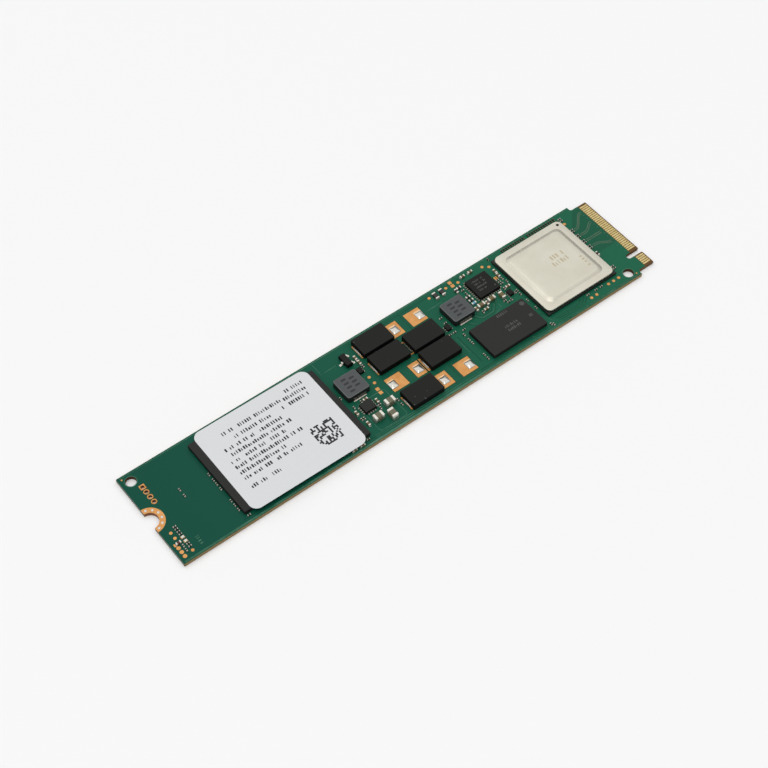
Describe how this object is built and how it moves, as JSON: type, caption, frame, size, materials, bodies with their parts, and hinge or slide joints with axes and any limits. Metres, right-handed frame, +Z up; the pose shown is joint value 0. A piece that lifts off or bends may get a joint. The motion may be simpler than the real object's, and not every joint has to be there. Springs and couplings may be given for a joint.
{
  "type": "card-edge solid state drive",
  "caption": "Flat green circuit card with memory chips, a lidded controller and a capacitor bank, a keyed contact tongue at one end and a screw notch at the other.",
  "frame": {"origin": "centre of the card's bounding box, on its underside", "axes": "+X along the card towards the contact tongue, +Y across it, +Z up from the underside to the parts"},
  "size_m": [0.11, 0.022, 0.0023],
  "materials": {
    "bare_copper": "bare copper with a clear coat",
    "bead_blue": "glazed ceramic",
    "capacitor_black": "moulded, matt",
    "ceramic_brown": "ceramic",
    "ceramic_tan": "ceramic",
    "contact_gold": "gold plated",
    "indicator_brown": "resin",
    "inductor_grey": "pressed iron powder",
    "label_paper": "white paper label",
    "lid_nickel": "matt nickel plate",
    "package_black": "moulded, matt",
    "resistor_black": "glass coat",
    "silicon": "polished silicon",
    "solder": "bright solder",
    "solder_mask": "green solder mask, satin",
    "substrate_green": "dark laminate",
    "tin": "tin plate",
    "underfill": "dark resin"
  },
  "bodies": {
    "root": {"bead_body": "bead_blue", "capacitor_lands": "bare_copper", "capacitor_terminals": "tin", "ceramic_chip_bodies": "ceramic_tan", "chip_resistor_bodies": "resistor_black", "chip_resistor_caps": "tin", "circuit_board": "solder_mask", "common_chip_caps": "tin", "controller_ball_field": "underfill", "controller_die": "silicon", "controller_lid": "lid_nickel", "controller_substrate": "substrate_green", "dark_chip_bodies": "resistor_black", "edge_contacts_bottom": "contact_gold", "edge_contacts_top": "contact_gold", "header_barrels": "bare_copper", "hold_up_capacitor_1": "capacitor_black", "hold_up_capacitor_2": "capacitor_black", "hold_up_capacitor_3": "capacitor_black", "hold_up_capacitor_4": "capacitor_black", "hold_up_capacitor_5": "capacitor_black", "indicator_body": "indicator_brown", "inductor_terminals": "tin", "input_inductor": "inductor_grey", "large_ceramic_bodies": "ceramic_tan", "large_ceramic_caps": "tin", "logic_chip_1": "package_black", "logic_chip_2": "package_black", "logic_chip_3": "package_black", "logic_chip_leads": "tin", "medium_ceramic_bodies": "ceramic_tan", "medium_ceramic_caps": "tin", "memory_ball_fields": "underfill", "memory_packages": "package_black", "mounting_ring": "bare_copper", "output_inductor": "inductor_grey", "power_chip": "package_black", "power_chip_leads": "tin", "product_label": "label_paper", "regulator": "package_black", "regulator_leads": "tin", "ring_vias": "solder", "small_chip_bodies": "ceramic_brown", "small_chip_caps": "tin", "spare_solder": "solder", "test_lands": "bare_copper", "transistor": "package_black", "transistor_leads": "tin", "working_memory": "package_black", "working_memory_ball_field": "underfill"}
  },
  "joints": []
}
